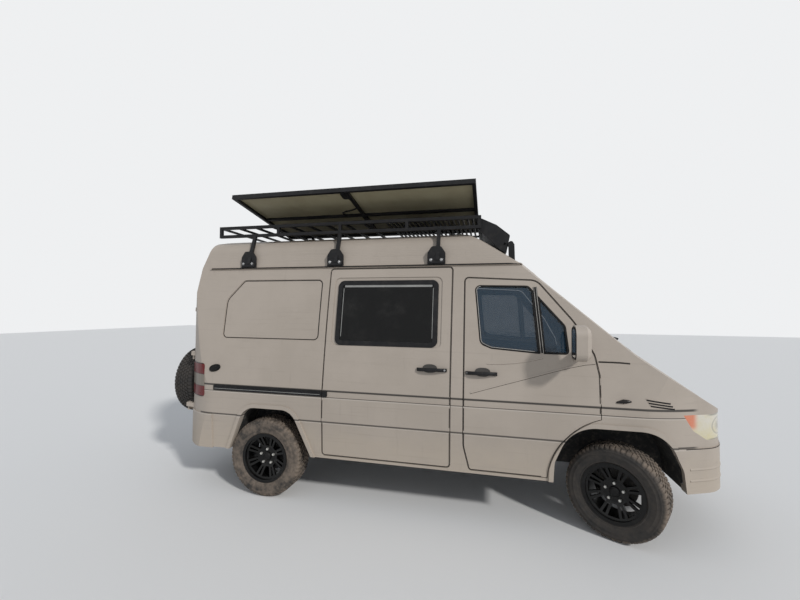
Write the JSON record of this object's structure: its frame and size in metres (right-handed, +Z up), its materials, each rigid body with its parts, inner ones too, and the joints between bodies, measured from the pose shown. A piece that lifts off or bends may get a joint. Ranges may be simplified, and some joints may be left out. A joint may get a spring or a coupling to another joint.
{
  "type": "high-roof camper van with roof rack and tilting solar panel",
  "caption": "High-roof panel van made into a camper: side window, sliding door, roof rack on gutter feet, tilting solar panel, spare wheel on the rear door, steered wheels.",
  "frame": {"origin": "on the ground, under the middle of the van's length and width", "axes": "+X towards the nose, +Y to the van's left, +Z up"},
  "size_m": [5.062, 2.392, 2.7987],
  "materials": {
    "body_paint": "matte",
    "black_plastic": "matte",
    "rack_black": "satin",
    "glass": "polished",
    "camper_pane": "polished",
    "lamp_lens": "gloss",
    "tail_lens": "gloss",
    "tyre_rubber": "matte",
    "rim_black": "satin",
    "cast_metal": "matte",
    "chassis_paint": "matte",
    "steel": "satin",
    "dash_plastic": "matte",
    "seat_cloth": "matte",
    "panel_alloy": "satin",
    "panel_back": "matte"
  },
  "bodies": {
    "body": {"front_wing_right": "body_paint", "front_wing_left": "body_paint", "nose_panel": "body_paint", "cowl": "body_paint", "body_side_right": "body_paint", "body_side_left": "body_paint", "front_bumper": "body_paint", "rear_bumper": "body_paint", "roof": "body_paint", "sliding_door": "body_paint", "grille": "black_plastic", "window_frames": "black_plastic", "slide_rail": "black_plastic", "wheel_housings": "black_plastic", "roof_rack": "rack_black", "windscreen": "glass", "window_panes": "camper_pane", "headlamps": "lamp_lens", "tail_lamps": "tail_lens", "engine_block": "cast_metal", "front_axle": "chassis_paint", "rear_axle": "chassis_paint", "floor_frame": "chassis_paint", "fuel_tank": "chassis_paint", "exhaust": "steel", "dashboard": "dash_plastic", "cab_seats": "seat_cloth"},
    "cab_door_right_body": {"cab_door_right": "body_paint", "cab_glass_right": "glass", "mirror_right": "body_paint"},
    "cab_door_left_body": {"cab_door_left": "body_paint", "cab_glass_left": "glass", "mirror_left": "body_paint"},
    "rear_door_right_body": {"rear_door_right": "body_paint", "rear_glass_right": "glass", "spare_carrier": "rack_black", "spare_tyre": "tyre_rubber", "spare_rim": "rim_black"},
    "rear_door_left_body": {"rear_door_left": "body_paint", "rear_glass_left": "glass"},
    "bonnet_lid": {"bonnet": "body_paint"},
    "solar_panel": {"panel_frame": "panel_alloy", "panel_sheet": "panel_back"},
    "steering_right": {"knuckle_right": "cast_metal"},
    "steering_left": {"knuckle_left": "cast_metal"},
    "wheel_front_right": {"tyre_front_right": "tyre_rubber", "rim_front_right": "rim_black"},
    "wheel_front_left": {"tyre_front_left": "tyre_rubber", "rim_front_left": "rim_black"},
    "wheel_rear_right": {"tyre_rear_right": "tyre_rubber", "rim_rear_right": "rim_black"},
    "wheel_rear_left": {"tyre_rear_left": "tyre_rubber", "rim_rear_left": "rim_black"}
  },
  "joints": [
    {"name": "cab_door_right_hinge", "type": "hinge", "parent": "body", "child": "cab_door_right_body", "pos_m": [1.469, -0.95889, 1.02], "axis": [0, 0.1179, 0.993], "range_deg": [0, 70]},
    {"name": "cab_door_left_hinge", "type": "hinge", "parent": "body", "child": "cab_door_left_body", "pos_m": [1.469, 0.95889, 1.02], "axis": [0, 0.1179, -0.993], "range_deg": [0, 70]},
    {"name": "rear_door_right_hinge", "type": "hinge", "parent": "body", "child": "rear_door_right_body", "pos_m": [-2.283, -0.786, 1], "axis": [0.0849, 0, 0.9964], "range_deg": [0, 90]},
    {"name": "rear_door_left_hinge", "type": "hinge", "parent": "body", "child": "rear_door_left_body", "pos_m": [-2.283, 0.786, 1], "axis": [-0.0849, 0, -0.9964], "range_deg": [0, 180]},
    {"name": "bonnet_hinge", "type": "hinge", "parent": "body", "child": "bonnet_lid", "pos_m": [1.793, 0, 1.375], "axis": [0, -1, 0], "range_deg": [0, 50]},
    {"name": "solar_panel_tilt", "type": "hinge", "parent": "body", "child": "solar_panel", "pos_m": [-0.6, 0.19, 2.562], "axis": [-1, 0, 0], "range_deg": [-9, 30]},
    {"name": "steer_right", "type": "hinge", "parent": "body", "child": "steering_right", "pos_m": [1.653, -0.745, 0.35], "axis": [0, 0, 1], "range_deg": [-5, 65]},
    {"name": "steer_left", "type": "hinge", "parent": "body", "child": "steering_left", "pos_m": [1.653, 0.745, 0.35], "axis": [0, 0, 1], "range_deg": [-5, 65]},
    {"name": "wheel_front_right_spin", "type": "hinge", "parent": "steering_right", "child": "wheel_front_right", "pos_m": [1.6065, -0.82554, 0.35], "axis": [0.5, 0.866, 0], "continuous": true},
    {"name": "wheel_front_left_spin", "type": "hinge", "parent": "steering_left", "child": "wheel_front_left", "pos_m": [1.6995, 0.82554, 0.35], "axis": [0.5, 0.866, 0], "continuous": true},
    {"name": "wheel_rear_right_spin", "type": "hinge", "parent": "body", "child": "wheel_rear_right", "pos_m": [-1.347, -0.838, 0.35], "axis": [0, 1, 0], "continuous": true},
    {"name": "wheel_rear_left_spin", "type": "hinge", "parent": "body", "child": "wheel_rear_left", "pos_m": [-1.347, 0.838, 0.35], "axis": [0, 1, 0], "continuous": true}
  ],
  "couplings": [
    {"joint": "steer_left", "follows": "steer_right", "ratio": 1}
  ]
}
